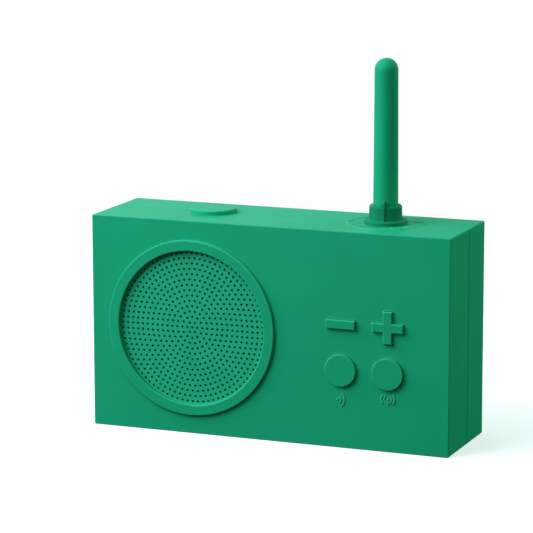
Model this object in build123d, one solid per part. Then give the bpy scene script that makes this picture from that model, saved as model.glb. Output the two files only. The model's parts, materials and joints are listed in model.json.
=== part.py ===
from build123d import *
import os
from math import cos, pi, radians, sin

# Shower speaker with radio: a silicone-covered box with a round grille at the left of the front,
# four push buttons at the right, a power button and a tuning knob with its aerial on top,
# and a charging and audio port under a hinged flap at the back.
# Frame: origin at the centre of the bottom face, front towards -Y, right towards +X, up +Z.
# All sizes in millimetres.

# ---- body ----
body_width = 140.0
body_depth = 40.0
body_height = 80.0
skin_wall = 2.0
housing_wall = 2.0
cover_split_from_front = 21.5
housing_split_from_front = 28.0
cover_seam_gap = 0.3
seam_chamfer = 0.25
front_edge_fillet = 0.4
side_edge_fillet = 0.6
rear_edge_fillet = 0.5
fillet_share_of_side = 0.95

# ---- speaker opening ----
speaker_x = -30.0
speaker_z = 40.0
ring_outer_radius = 33.0
ring_inner_radius = 28.85
ring_proud = 1.3
ring_edge_fillet = 0.45
ring_spigot_radius = 31.0
spigot_clearance = 0.1
grille_thickness = 0.9
mesh_thickness = 0.3
hole_pitch = 2.0
hole_rings = 14
hole_diameter = 0.95
sound_opening_radius = 25.0

# ---- loudspeaker ----
gasket_thickness = 0.8
basket_flange_radius = 30.5
basket_flange_thickness = 1.2
basket_wall = 1.0
basket_depth = 12.2
basket_seat_margin = 0.5
basket_window_inner = 17.5
basket_window_width = 15.0
basket_window_margin = 1.6
cone_depth = 6.4
dust_cap_rise = 2.0
spider_depth = 1.9
spider_thickness = 0.3
spider_fold_height = 0.6
spider_folds = 4
spider_foot = 1.0
spider_inset = 1.5
former_below_plate = 1.0
winding_overhang = 0.6
winding_below_plate = 0.4
surround_outer_radius = 24.4
surround_inner_radius = 20.0
surround_thickness = 0.4
cone_thickness = 0.5
coil_inner_radius = 6.5
former_thickness = 0.3
winding_thickness = 0.4
magnet_gap = 0.3
top_plate_radius = 14.5
top_plate_thickness = 2.5
magnet_radius = 15.5
magnet_inner_radius = 9.0
magnet_thickness = 6.0
magnet_chamfer = 0.4
yoke_thickness = 2.5
yoke_chamfer = 0.6
yoke_vent_radius = 1.5
driver_screw_circle = 56.0
driver_screw_bite = 1.2
pilot_depth_gap = 0.3
terminal_inset = 3.0
terminal_strip = 1.6
terminal_strip_length = 10.0
terminal_strip_height = 5.0
terminal_pitch = 5.0
tag_length = 2.0
tag_height = 2.0
tag_thickness = 0.5

# ---- front buttons ----
button_centre_x = 37.8
button_pitch_x = 18.0
lower_row_z = 29.0
upper_row_z = 46.0
round_button_radius = 6.0
plus_size = 12.0
minus_length = 11.2
sign_bar = 3.4
button_proud = 1.3
button_gap = 0.15
button_travel = 0.6
button_underside_gap = 0.3
button_edge_fillet = 0.4
plunger_radius = 2.2
plunger_peg_radius = 1.2
plunger_flange_radius = 4.0
plunger_flange_thickness = 0.8
plunger_clearance = 0.3
plunger_socket_depth = 0.8
plunger_flange_gap = 0.2
plunger_reach = 1.9
power_extra_reach = 2.3

# ---- push switches ----
switch_side = 6.2
switch_height = 3.1
switch_corner = 0.5
switch_leg_width = 1.0
switch_leg_depth = 0.7
switch_leg_height = 0.5
switch_leg_share = 0.7
actuator_radius = 1.6
actuator_clearance = 0.15
actuator_showing = 1.1
actuator_length = 2.6
actuator_bore_depth = 2.5

# ---- raised icons on the front ----
icon_height = 0.35
icon_line = 0.55
icon_sunk = 0.3
left_icon_z = 18.1
right_icon_z = 19.3
wave_radii = (1.4, 2.7)
mast_wave_radii = (1.4, 2.5)
mast_wave_height = 3.0
mast_length = 2.6

# ---- power button ----
power_x = -30.0
power_radius = 8.5
power_proud = 1.6
power_edge_fillet = 0.4
power_icon_radius = 1.1
power_icon_line = 0.3
power_icon_bar = 1.2
power_icon_depth = 0.25

# ---- tuning knob and aerial ----
tuner_x = 38.0
pointer_turn = 10.0
knob_flange_radius = 7.9
knob_flange_height = 1.6
knob_face_gap = 0.15
collar_radius_bottom = 6.1
collar_radius_top = 5.95
collar_height = 5.4
collar_shoulder = 0.9
pointer_width = 1.0
pointer_reach = 6.7
pointer_above_collar = 2.0
pointer_top_fillet = 1.4
pointer_sunk = 0.3
knob_stem_radius = 3.8
knob_stem_below_clip = 1.6
knob_hole_clearance = 0.3
aerial_radius_bottom = 4.6
aerial_radius_top = 4.3
aerial_above_body = 60.5
aerial_socket_depth = 5.0
aerial_core_radius = 2.7
aerial_coil_radius = 2.0
aerial_wire_radius = 0.35
aerial_coil_pitch = 4.0
aerial_coil_turns = 11
aerial_coil_above_seat = 4.0
aerial_core_end_wall = 1.0
ferrule_clearance = 0.1
ferrule_coil_gap = 0.2
ferrule_chamfer = 0.4
shaft_chamfer = 0.3
shaft_radius = 2.0
shaft_clearance = 0.05
shaft_in_knob = 5.0
shaft_in_encoder = 3.0
shaft_end_gap = 0.4
clip_thickness = 1.0
clip_radius = 5.5
clip_groove = 0.8
clip_slot = 3.2
clip_gap = 0.4
encoder_side = 12.0
encoder_height = 5.0
encoder_corner = 0.8
bushing_radius = 3.2
bushing_height = 4.5
bushing_gap = 1.0

# ---- dial on the top ----
dial_radius = 14.0
dial_line = 0.5
dial_height = 0.15
dial_sunk = 0.2
dial_mark_gap = 1.3
dial_mark_length = 2.2
dial_mark_count = 9
dial_sweep = 240.0

# ---- boards and fasteners ----
board_thickness = 1.6
small_board_thickness = 1.2
main_board_left = 14.0
main_board_right = 60.0
main_board_bottom = 12.0
main_board_top = 53.5
board_screw_inset = 3.0
board_edge_gap = 0.3
small_board_length = 28.0
small_board_depth = 16.0
hanging_post_offset = 11.0
post_radius = 2.2
post_root = 0.5
pilot_end_gap = 0.4
screw_shank_radius = 0.95
screw_pilot_clearance = 0.05
screw_hole_clearance = 0.25
screw_head_radius = 1.9
screw_head_height = 1.2
screw_head_fillet = 0.4
screw_recess_share = 0.45
board_screw_length = 5.0
case_screw_inset = 3.5
case_screw_middle_x = 5.0
case_boss_radius = 3.0
case_shank_radius = 1.2
case_head_radius = 2.3
case_head_height = 1.6
case_head_clearance = 0.2
case_head_seat_depth = 6.0
case_screw_length = 15.0
seal_width = 1.0
seal_depth = 0.8

# ---- parts on the main board, as x and z of their middles ----
module_place = (30.0, 36.0)
module_size = (18.0, 14.0, 0.8)
module_can = (13.0, 12.0, 2.0)
module_can_shift = -0.5
module_can_corner = 0.6
amplifier_place = (46.0, 24.0)
amplifier_side = 6.0
amplifier_height = 1.4
amplifier_pins = 4
chip_leg_reach = 0.6
chip_leg_thickness = 0.4
capacitor_places = ((22.0, 21.0), (29.0, 21.0))
capacitor_radius = 2.5
capacitor_height = 6.0
capacitor_fillet = 0.4
battery_socket_place = (24.0, 48.0)
speaker_socket_place = (17.5, 28.0)
port_socket_place = (38.0, 15.5)
lead_socket_size = (6.0, 4.0, 4.5)
lead_socket_wall = 0.6
lead_socket_floor = 1.5

# ---- battery ----
battery_length = 46.0
battery_height = 32.0
battery_thickness = 7.0
battery_left = 13.0
battery_bottom = 24.0
battery_fillet = 1.5
battery_rib = 1.2
battery_rib_height = 4.0
battery_rib_clearance = 0.3

# ---- rear port ----
port_x = 38.0
port_z = 12.0
flap_length = 30.0
flap_height = 10.8
flap_thickness = 1.9
flap_gap = 0.3
flap_hinge_gap = 0.4
flap_pin_radius = 0.5
flap_pin_clearance = 0.06
flap_pin_anchor = 1.2
flap_pad_height = 0.5
flap_pad_margin = 0.05
flap_pad_gap = 0.1
flap_back_clearance = 0.1
flap_corner = 2.0
audio_pad_radius = 2.4
socket_window_gap = 0.25
notch_radius = 3.0
notch_depth = 0.9
usb_width = 9.0
usb_height = 3.2
usb_shell = 0.35
usb_depth = 7.3
usb_back_wall = 1.0
usb_round_share = 0.95
usb_tongue = (6.4, 0.7)
usb_tongue_set_back = 1.8
usb_offset = -7.0
audio_bore_radius = 1.8
audio_body = 6.4
audio_depth = 14.0
audio_back_wall = 1.0
audio_offset = 7.0
port_board_depth = 14.0
port_board_length = 32.0
port_screw_inset = 2.6
port_screw_behind_split = 5.0

# ---- leads ----
lead_radius = 0.5
lead_bend = 1.6
lead_above_board = 5.0
battery_lead_pitch = 2.4
battery_lead_reach = 4.0
battery_lead_depth = 1.5
battery_lead_gap = 0.2
speaker_lead_pitch = 1.8
speaker_lead_first_run = 5.0
speaker_lead_drop_reach = 10.0
speaker_lead_spread = 1.5

# ---- how far a cut runs past the face that it opens ----
past = 1.0

# ---- places worked out from the sizes above ----
front_y = -body_depth / 2
rear_y = body_depth / 2
half_width = body_width / 2
cover_split_y = front_y + cover_split_from_front
housing_split_y = front_y + housing_split_from_front
housing_front_y = front_y + skin_wall
housing_rear_y = rear_y - skin_wall
inside_front_y = housing_front_y + housing_wall
inside_rear_y = housing_rear_y - housing_wall
housing_half = half_width - skin_wall
inside_half = housing_half - housing_wall
housing_bottom_z = skin_wall
housing_top_z = body_height - skin_wall
inside_bottom_z = housing_bottom_z + housing_wall
inside_top_z = housing_top_z - housing_wall

grille_radius = ring_spigot_radius - spigot_clearance
mesh_front_y = housing_front_y - mesh_thickness
grille_front_y = mesh_front_y - grille_thickness
ring_front_y = front_y - ring_proud

basket_front_y = inside_front_y + gasket_thickness
basket_seat_y = basket_front_y + basket_depth
top_plate_rear_y = basket_seat_y + top_plate_thickness
magnet_rear_y = top_plate_rear_y + magnet_thickness
yoke_rear_y = magnet_rear_y + yoke_thickness
cone_neck_y = basket_front_y + cone_depth
pole_radius = coil_inner_radius - magnet_gap
former_radius = coil_inner_radius + former_thickness
winding_radius = former_radius + winding_thickness
top_plate_bore = winding_radius + magnet_gap

button_left_x = button_centre_x - button_pitch_x / 2
button_right_x = button_centre_x + button_pitch_x / 2
cap_front_y = front_y - button_proud
cap_back_y = housing_front_y - button_travel - button_underside_gap
peg_start_y = cap_back_y - plunger_socket_depth
plunger_end_y = inside_front_y + plunger_reach
switch_front_y = plunger_end_y + actuator_showing
board_front_y = switch_front_y + switch_height
board_rear_y = board_front_y + board_thickness

power_y = cover_split_y
power_top_z = body_height + power_proud
power_cap_bottom_z = housing_top_z + button_travel + button_underside_gap
power_peg_top_z = power_cap_bottom_z + plunger_socket_depth
power_plunger_end_z = inside_top_z - plunger_reach - power_extra_reach
power_switch_top_z = power_plunger_end_z - actuator_showing
power_board_top_z = power_switch_top_z - switch_height

tuner_y = cover_split_y
flange_bottom_z = body_height + knob_face_gap
flange_top_z = body_height + knob_flange_height
collar_top_z = flange_top_z + collar_height
aerial_top_z = body_height + aerial_above_body
aerial_bottom_z = collar_top_z - aerial_socket_depth
aerial_coil_start_z = aerial_bottom_z + aerial_coil_above_seat
clip_top_z = inside_top_z - clip_gap
clip_bottom_z = clip_top_z - clip_thickness
clip_bore_radius = knob_stem_radius - clip_groove
knob_hole_radius = knob_stem_radius + knob_hole_clearance
stem_bottom_z = clip_bottom_z - knob_stem_below_clip
shaft_top_z = stem_bottom_z + shaft_in_knob
bushing_top_z = stem_bottom_z - bushing_gap
encoder_top_z = bushing_top_z - bushing_height
tuner_board_top_z = encoder_top_z - encoder_height

battery_right = battery_left + battery_length
battery_top = battery_bottom + battery_height
battery_front_y = inside_rear_y - battery_thickness

flap_left_x = port_x - flap_length / 2
flap_right_x = port_x + flap_length / 2
flap_bottom_z = port_z - flap_height / 2
flap_top_z = port_z + flap_height / 2
flap_pin_y = rear_y - flap_thickness / 2
flap_back_y = rear_y - flap_thickness
socket_mouth_y = flap_back_y - flap_pad_height - flap_pad_gap
usb_x = port_x + usb_offset
audio_x = port_x + audio_offset
port_board_top_z = port_z - audio_body / 2
port_board_bottom_z = port_board_top_z - small_board_thickness
usb_z = port_board_top_z + usb_height / 2

front_plane = Plane(origin=(0, 0, 0), x_dir=(1, 0, 0), z_dir=(0, -1, 0))


def block(x, y, z):
    """A box between three pairs of low and high coordinates."""
    middle = Pos((x[0] + x[1]) / 2, (y[0] + y[1]) / 2, (z[0] + z[1]) / 2)
    return middle * Box(x[1] - x[0], y[1] - y[0], z[1] - z[0])


def rod_y(x, z, radius, start, end):
    """A cylinder along Y."""
    return Pos(x, (start + end) / 2, z) * Rot(90, 0, 0) * Cylinder(radius, end - start)


def rod_z(x, y, radius, start, end):
    """A cylinder along Z."""
    return Pos(x, y, (start + end) / 2) * Cylinder(radius, end - start)


def tube_y(x, z, outer, inner, start, end):
    """A plain ring along Y."""
    return rod_y(x, z, outer, start, end) - rod_y(x, z, inner, start - past, end + past)


def tube_z(outer, inner, start, end):
    """A plain ring round the Z axis."""
    return rod_z(0, 0, outer, start, end) - rod_z(0, 0, inner, start - past, end + past)


def turned_y(x, z, outline):
    """A solid turned about an axis along Y, from (radius, y) points."""
    profile = make_face(Polyline([(r, 0, y) for r, y in outline], close=True))
    return Pos(x, 0, z) * Rot(-90, 0, 0) * revolve(profile, Axis.Z)


def front_sketch_solid(sketch, x, z, start, end):
    """A front-view outline, centred at x and z, filled from y=start back to y=end."""
    placed = front_plane * Pos(x, z, 0) * sketch
    return Pos(0, end, 0) * extrude(placed, end - start)


def save(node, shape):
    """Write one sub-part under its name."""
    export_step(shape, f"parts/{node}.step")


def screw_y(x, z, head_front, shank, length, head, head_height):
    """A screw driven towards -Y with its head's underside at y=head_front."""
    head_rear = head_front + head_height
    cap = rod_y(x, z, head, head_front, head_rear)
    cap = fillet(cap.edges().group_by(Axis.Y)[-1], screw_head_fillet)
    recess = rod_y(x, z, head * screw_recess_share, head_rear - head_height / 2, head_rear + past)
    return cap - recess + rod_y(x, z, shank, head_front - length, head_front)


def screw_z(x, y, head_top, shank, length, head, head_height):
    """A screw driven upwards with its head's underside at z=head_top."""
    head_bottom = head_top - head_height
    cap = rod_z(x, y, head, head_bottom, head_top)
    cap = fillet(cap.edges().group_by(Axis.Z)[0], screw_head_fillet)
    recess = rod_z(x, y, head * screw_recess_share, head_bottom - past, head_bottom + head_height / 2)
    return cap - recess + rod_z(x, y, shank, head_top, head_top + length)


# ---- outlines shared by buttons and their holes ----
def minus_outline():
    """A flat bar."""
    return Rectangle(minus_length, sign_bar)


def plus_outline():
    """Two crossed bars."""
    return Rectangle(plus_size, sign_bar) + Rectangle(sign_bar, plus_size)


def round_outline():
    """A plain disc."""
    return Circle(round_button_radius)


buttons = {
    "minus": (minus_outline, button_left_x, upper_row_z),
    "plus": (plus_outline, button_right_x, upper_row_z),
    "wireless": (round_outline, button_left_x, lower_row_z),
    "radio": (round_outline, button_right_x, lower_row_z),
}

case_head_y = inside_rear_y - case_head_seat_depth
case_screw_xs = (case_screw_inset - inside_half, case_screw_middle_x, inside_half - case_screw_inset)
case_screw_zs = (inside_bottom_z + case_screw_inset, inside_top_z - case_screw_inset)
case_screws = [(x, z) for x in case_screw_xs for z in case_screw_zs]
main_board_screws = [
    (x, z)
    for x in (main_board_left + board_screw_inset, main_board_right - board_screw_inset)
    for z in (main_board_bottom + board_screw_inset, main_board_top - board_screw_inset)
]
power_posts = [(power_x - hanging_post_offset, power_y), (power_x + hanging_post_offset, power_y)]
tuner_posts = [(tuner_x - hanging_post_offset, tuner_y), (tuner_x + hanging_post_offset, tuner_y)]
screw_hole_radius = screw_shank_radius + screw_hole_clearance
port_screw_reach = port_board_length / 2 - port_screw_inset
port_screw_y = housing_split_y + port_screw_behind_split
port_board_screws = [(port_x - port_screw_reach, port_screw_y), (port_x + port_screw_reach, port_screw_y)]
driver_screw_reach = driver_screw_circle / 2 * cos(radians(45))
driver_screws = [
    (speaker_x + x * driver_screw_reach, speaker_z + z * driver_screw_reach)
    for x in (1, -1)
    for z in (1, -1)
]


# ---- silicone covers ----
def wave_arc(radius):
    """A thin arc, 60 degrees up and down from +X."""
    arc = Circle(radius + icon_line / 2) - Circle(radius - icon_line / 2)
    reach = radius * 2
    corners = [(0, 0), (reach * 0.5, reach * sin(pi / 3)), (reach, 0), (reach * 0.5, -reach * sin(pi / 3))]
    return arc & make_face(Polyline(corners, close=True))


def wireless_icon():
    """A dot that sends two waves to the right."""
    icon = Circle(icon_line * 0.8)
    for radius in wave_radii:
        icon += wave_arc(radius)
    return Pos(-wave_radii[-1] / 2, 0, 0) * icon


def radio_icon():
    """A mast with two waves on each side of its tip."""
    tip = mast_length / 2 - icon_line
    icon = Rectangle(icon_line, mast_length) + Pos(0, tip, 0) * Circle(icon_line * 0.9)
    for turn in (0, 180):
        for radius in mast_wave_radii:
            arc = wave_arc(radius) & Rectangle(radius * 4, mast_wave_height)
            icon += Pos(0, tip, 0) * Rot(0, 0, turn) * arc
    return Pos(0, -tip / 2, 0) * icon


def dial():
    """The raised scale round the tuning knob: a circle and short marks inside it."""
    marks = Circle(dial_radius + dial_line / 2) - Circle(dial_radius - dial_line / 2)
    for index in range(dial_mark_count):
        turn = -90 - dial_sweep / 2 + dial_sweep * index / (dial_mark_count - 1)
        mark_middle = dial_radius - dial_mark_gap - dial_mark_length / 2
        marks += Rot(0, 0, turn) * Pos(mark_middle, 0, 0) * Rectangle(dial_mark_length, dial_line)
    return Pos(tuner_x, tuner_y, body_height - dial_sunk) * extrude(marks, dial_height + dial_sunk)


def outer_body():
    """The whole outside of the body, with its small edge radii."""
    body = block((-half_width, half_width), (front_y, rear_y), (0, body_height))
    body = fillet(body.edges().filter_by(Axis.Y), side_edge_fillet)
    body = fillet(body.edges().group_by(Axis.Y)[0], front_edge_fillet)
    rear_limit = side_edge_fillet * fillet_share_of_side
    return fillet(body.edges().group_by(Axis.Y)[-1], min(rear_edge_fillet, rear_limit))


def housing_block(start, end):
    """The outside of the rigid housings between two depths."""
    return block((-housing_half, housing_half), (start, end), (housing_bottom_z, housing_top_z))


def inside_block(start, end):
    """The space inside the housings between two depths."""
    return block((-inside_half, inside_half), (start, end), (inside_bottom_z, inside_top_z))


def cover(start, end, seam_y):
    """One silicone cover: the outside between two depths, hollowed for the housing."""
    keep = block((-half_width, half_width), (start, end), (0, body_height))
    shell = outer_body() & keep
    shell = fillet_seam(shell, seam_y)
    shell -= housing_block(housing_front_y, housing_rear_y)
    marks_keep = block((-half_width, half_width), (start, end), (0, body_height + past))
    shell += dial() & marks_keep
    shell -= rod_z(power_x, power_y, power_radius + button_gap, housing_top_z - past, body_height + past)
    return shell - rod_z(tuner_x, tuner_y, knob_hole_radius, housing_top_z - past, body_height + past)


def fillet_seam(shell, seam_y):
    """Break the outer corner where the two covers meet."""
    rim = [edge for edge in shell.edges() if abs(edge.center().Y - seam_y) < 1e-6]
    return chamfer(rim, seam_chamfer)


def front_cover():
    """The cover over the front: openings for the ring and the keys, and the two raised icons."""
    seam_y = cover_split_y - cover_seam_gap / 2
    shell = cover(front_y, seam_y, seam_y)
    shell -= rod_y(speaker_x, speaker_z, ring_spigot_radius, front_y - past, housing_front_y + past)
    for outline, x, z in buttons.values():
        hole = offset(outline(), button_gap, kind=Kind.INTERSECTION)
        shell -= front_sketch_solid(hole, x, z, front_y - past, housing_front_y + past)
    icon_top = front_y - icon_height
    icon_root = front_y + icon_sunk
    shell += front_sketch_solid(wireless_icon(), button_left_x, left_icon_z, icon_top, icon_root)
    return shell + front_sketch_solid(radio_icon(), button_right_x, right_icon_z, icon_top, icon_root)


def rear_cover():
    """The cover over the back: the recess of the flap, the holes of its pin and a finger notch."""
    seam_y = cover_split_y + cover_seam_gap / 2
    shell = cover(seam_y, rear_y, seam_y)
    shell -= flap_pocket()
    low, high = pin_ends()
    shell -= rod_z(flap_left_x, flap_pin_y, flap_pin_radius, low, high)
    notch = rod_y(flap_right_x + flap_gap, port_z, notch_radius, rear_y - notch_depth, rear_y + past)
    return shell - notch


def flap_pocket():
    """The space round and behind the closed flap, as deep as the flap needs."""
    left = flap_left_x - flap_thickness / 2 - flap_hinge_gap
    back = min(housing_rear_y, flap_back_y - flap_back_clearance)
    return block(
        (left, flap_right_x + flap_gap),
        (back, rear_y + past),
        (flap_bottom_z - flap_gap, flap_top_z + flap_gap),
    )


# ---- rigid housings ----
def pin_ends():
    """Lowest and highest point of the flap's hinge pin."""
    low = flap_bottom_z - flap_gap - flap_pin_anchor
    high = flap_top_z + flap_gap + flap_pin_anchor
    return low, high


def seal_ring():
    """The square seal that runs in the rim of the front housing."""
    outer = housing_wall / 2 + seal_width / 2
    inner = housing_wall / 2 - seal_width / 2
    start = housing_split_y - seal_depth
    big = block(
        (-inside_half - outer, inside_half + outer),
        (start, housing_split_y),
        (inside_bottom_z - outer, inside_top_z + outer),
    )
    hollow = block(
        (-inside_half - inner, inside_half + inner),
        (start - past, housing_split_y + past),
        (inside_bottom_z - inner, inside_top_z + inner),
    )
    return big - hollow


def front_housing():
    """The deep tub: it holds the loudspeaker, the boards and the bosses of the case screws."""
    shell = housing_block(housing_front_y, housing_split_y)
    shell -= inside_block(inside_front_y, housing_split_y + past)
    shell -= seal_ring()
    pilot = case_shank_radius + screw_pilot_clearance
    case_pilot_start = case_head_y - case_screw_length - pilot_end_gap
    for x, z in case_screws:
        shell += rod_y(x, z, case_boss_radius, inside_front_y - post_root, housing_split_y)
    for x, z in main_board_screws:
        shell += rod_y(x, z, post_radius, inside_front_y - post_root, board_front_y)
    for x, y in power_posts:
        shell += rod_z(x, y, post_radius, power_board_top_z, inside_top_z + post_root)
    for x, y in tuner_posts:
        shell += rod_z(x, y, post_radius, tuner_board_top_z, inside_top_z + post_root)
    for x, z in case_screws:
        shell -= rod_y(x, z, pilot, case_pilot_start, housing_split_y + past)
    small_pilot = screw_shank_radius + screw_pilot_clearance
    for x, z in main_board_screws:
        pilot_start = board_rear_y - board_screw_length - pilot_end_gap
        shell -= rod_y(x, z, small_pilot, pilot_start, board_front_y + past)
    for x, y in power_posts:
        top = power_board_top_z - small_board_thickness + board_screw_length + pilot_end_gap
        shell -= rod_z(x, y, small_pilot, power_board_top_z - past, top)
    for x, y in tuner_posts:
        top = tuner_board_top_z - small_board_thickness + board_screw_length + pilot_end_gap
        shell -= rod_z(x, y, small_pilot, tuner_board_top_z - past, top)
    shell -= rod_y(speaker_x, speaker_z, sound_opening_radius, housing_front_y - past, inside_front_y + past)
    for x, z in driver_screws:
        pilot_start = inside_front_y - driver_screw_bite - pilot_depth_gap
        shell -= rod_y(x, z, small_pilot, pilot_start, inside_front_y + past)
    plunger_hole = plunger_radius + plunger_clearance
    for outline, x, z in buttons.values():
        shell -= rod_y(x, z, plunger_hole, housing_front_y - past, inside_front_y + past)
    shell -= rod_z(power_x, power_y, plunger_hole, inside_top_z - past, housing_top_z + past)
    return shell - rod_z(tuner_x, tuner_y, knob_hole_radius, inside_top_z - past, housing_top_z + past)


def rear_housing():
    """The lid: it holds the battery's fence and the posts of the port board."""
    shell = housing_block(housing_split_y, housing_rear_y)
    shell -= inside_block(housing_split_y - past, inside_rear_y)
    for x, z in case_screws:
        shell += rod_y(x, z, case_boss_radius, housing_split_y, inside_rear_y + post_root)
    for x, z in case_screws:
        shank_hole = case_shank_radius + screw_hole_clearance
        shell -= rod_y(x, z, shank_hole, housing_split_y - past, housing_rear_y + past)
        shell -= rod_y(x, z, case_head_radius + case_head_clearance, case_head_y, housing_rear_y + past)
    shell += battery_fence()
    for x, y in port_board_screws:
        shell += rod_z(x, y, post_radius, inside_bottom_z - post_root, port_board_bottom_z)
        pilot_bottom = port_board_top_z - board_screw_length - pilot_end_gap
        pilot = screw_shank_radius + screw_pilot_clearance
        shell -= rod_z(x, y, pilot, pilot_bottom, port_board_bottom_z + past)
    shell -= flap_pocket()
    shell -= usb_outline_block(socket_window_gap, inside_rear_y - past, housing_rear_y + past)
    audio_side = audio_body / 2 + socket_window_gap
    shell -= block(
        (audio_x - audio_side, audio_x + audio_side),
        (inside_rear_y - past, housing_rear_y + past),
        (port_z - audio_side, port_z + audio_side),
    )
    return shell


def battery_fence():
    """Low ribs on the back wall that hold the cell in place."""
    gap = battery_rib_clearance
    rib = battery_rib
    depth = (inside_rear_y - battery_rib_height, inside_rear_y + post_root)
    outer = block(
        (battery_left - gap - rib, battery_right + gap + rib),
        depth,
        (battery_bottom - gap - rib, battery_top + gap + rib),
    )
    inner = block(
        (battery_left - gap, battery_right + gap),
        (depth[0] - past, inside_rear_y),
        (battery_bottom - gap, battery_top + gap),
    )
    return outer - inner


def case_screw_group():
    """The six long screws that close the housings."""
    return [
        screw_y(x, z, case_head_y, case_shank_radius, case_screw_length, case_head_radius, case_head_height)
        for x, z in case_screws
    ]


def board_screw_group():
    """The small screws of every board: four in the main one, two in each of the others."""
    sizes = (screw_shank_radius, board_screw_length, screw_head_radius, screw_head_height)
    group = [screw_y(x, z, board_rear_y, *sizes) for x, z in main_board_screws]
    power_head = power_board_top_z - small_board_thickness
    group += [screw_z(x, y, power_head, *sizes) for x, y in power_posts]
    tuner_head = tuner_board_top_z - small_board_thickness
    group += [screw_z(x, y, tuner_head, *sizes) for x, y in tuner_posts]
    down = Rot(180, 0, 0)
    for x, y in port_board_screws:
        screw = down * screw_z(0, 0, 0, *sizes)
        group.append(Pos(x, y, port_board_top_z) * screw)
    return group


def driver_screw_group():
    """The four short screws through the loudspeaker's frame."""
    seat = basket_front_y + basket_flange_thickness
    length = seat - inside_front_y + driver_screw_bite
    return [
        screw_y(x, z, seat, screw_shank_radius, length, screw_head_radius, screw_head_height)
        for x, z in driver_screws
    ]


# ---- grille and loudspeaker ----
def speaker_ring():
    """The raised bezel: a flange on the cover and a spigot that clamps the grille."""
    flange = rod_y(speaker_x, speaker_z, ring_outer_radius, ring_front_y, front_y)
    flange = fillet(flange.edges().group_by(Axis.Y)[0], ring_edge_fillet)
    spigot = rod_y(speaker_x, speaker_z, ring_spigot_radius - spigot_clearance, front_y, grille_front_y)
    ring = flange + spigot
    ring -= rod_y(speaker_x, speaker_z, ring_inner_radius, ring_front_y - past, grille_front_y + past)
    inner = ring.edges().filter_by(GeomType.CIRCLE).group_by(Axis.Y)[0].sort_by(SortBy.RADIUS)[0]
    return fillet(inner, ring_edge_fillet)


def speaker_grille():
    """A disc with rings of small holes, six more in each ring than in the one inside it."""
    holes = [(0.0, 0.0)]
    for ring in range(1, hole_rings + 1):
        for index in range(6 * ring):
            turn = 2 * pi * index / (6 * ring)
            holes.append((ring * hole_pitch * cos(turn), ring * hole_pitch * sin(turn)))
    disc = Circle(grille_radius) - [Pos(x, y, 0) * Circle(hole_diameter / 2) for x, y in holes]
    return front_sketch_solid(disc, speaker_x, speaker_z, grille_front_y, mesh_front_y)


def speaker_mesh():
    """The thin dust cloth behind the grille."""
    return rod_y(speaker_x, speaker_z, grille_radius, mesh_front_y, housing_front_y)


def driver_gasket():
    """The foam ring that seals the frame against the housing."""
    ring = tube_y(
        speaker_x, speaker_z, basket_flange_radius, sound_opening_radius, inside_front_y, basket_front_y
    )
    for x, z in driver_screws:
        ring -= rod_y(x, z, screw_hole_radius, inside_front_y - past, basket_front_y + past)
    return ring


def driver_basket():
    """A pressed frame: screw flange, open cone wall and the seat for the magnet."""
    flange_rear = basket_front_y + basket_flange_thickness
    lip = surround_outer_radius
    floor_outer = magnet_radius + basket_seat_margin
    floor_inner = top_plate_bore + basket_seat_margin
    frame = turned_y(speaker_x, speaker_z, [
        (lip, basket_front_y),
        (basket_flange_radius, basket_front_y),
        (basket_flange_radius, flange_rear),
        (lip + basket_wall, flange_rear),
        (floor_outer, basket_seat_y),
        (floor_inner, basket_seat_y),
        (floor_inner, basket_seat_y - basket_wall),
        (floor_outer - basket_wall, basket_seat_y - basket_wall),
        (lip, flange_rear - 0.2),
    ])
    for turn in (0, 90, 180, 270):
        window = block(
            (basket_window_inner, basket_flange_radius + past),
            (flange_rear + basket_window_margin, basket_seat_y - basket_window_margin),
            (-basket_window_width / 2, basket_window_width / 2),
        )
        frame -= Pos(speaker_x, 0, speaker_z) * Rot(0, turn + 45, 0) * window
    for x, z in driver_screws:
        frame -= rod_y(x, z, screw_hole_radius, basket_front_y - past, flange_rear + past)
    return frame


def half_roll():
    """The rubber roll between the frame and the cone, turned from an arched band."""
    middle = (surround_outer_radius + surround_inner_radius) / 2
    outer = (surround_outer_radius - surround_inner_radius) / 2
    band = Circle(outer) - Circle(outer - surround_thickness)
    band = band & (Pos(0, -outer, 0) * Rectangle(2 * outer, 2 * outer))
    placed = Plane.XZ * Pos(middle, 0, 0) * band
    return Pos(speaker_x, basket_front_y, speaker_z) * Rot(-90, 0, 0) * revolve(placed, Axis.Z)


def driver_cone():
    """The paper cone, from the roll's inner edge down to the coil's former."""
    return turned_y(speaker_x, speaker_z, [
        (surround_inner_radius, basket_front_y),
        (surround_inner_radius, basket_front_y + cone_thickness),
        (former_radius, cone_neck_y + cone_thickness),
        (former_radius, cone_neck_y),
    ])


def dust_cap():
    """A shallow paper dome glued over the coil."""
    ball = (former_radius ** 2 + dust_cap_rise ** 2) / (2 * dust_cap_rise)
    centre = Pos(speaker_x, cone_neck_y - dust_cap_rise + ball, speaker_z)
    dome = centre * Sphere(ball) - centre * Sphere(ball - cone_thickness)
    return dome & rod_y(speaker_x, speaker_z, former_radius, cone_neck_y - dust_cap_rise - past, cone_neck_y)


def voice_coil():
    """The paper former with its winding over the magnet gap."""
    former_end = top_plate_rear_y + former_below_plate
    winding_start = basket_seat_y - winding_overhang
    winding_end = top_plate_rear_y + winding_below_plate
    return turned_y(speaker_x, speaker_z, [
        (coil_inner_radius, cone_neck_y),
        (former_radius, cone_neck_y),
        (former_radius, winding_start),
        (winding_radius, winding_start),
        (winding_radius, winding_end),
        (former_radius, winding_end),
        (former_radius, former_end),
        (coil_inner_radius, former_end),
    ])


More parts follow.
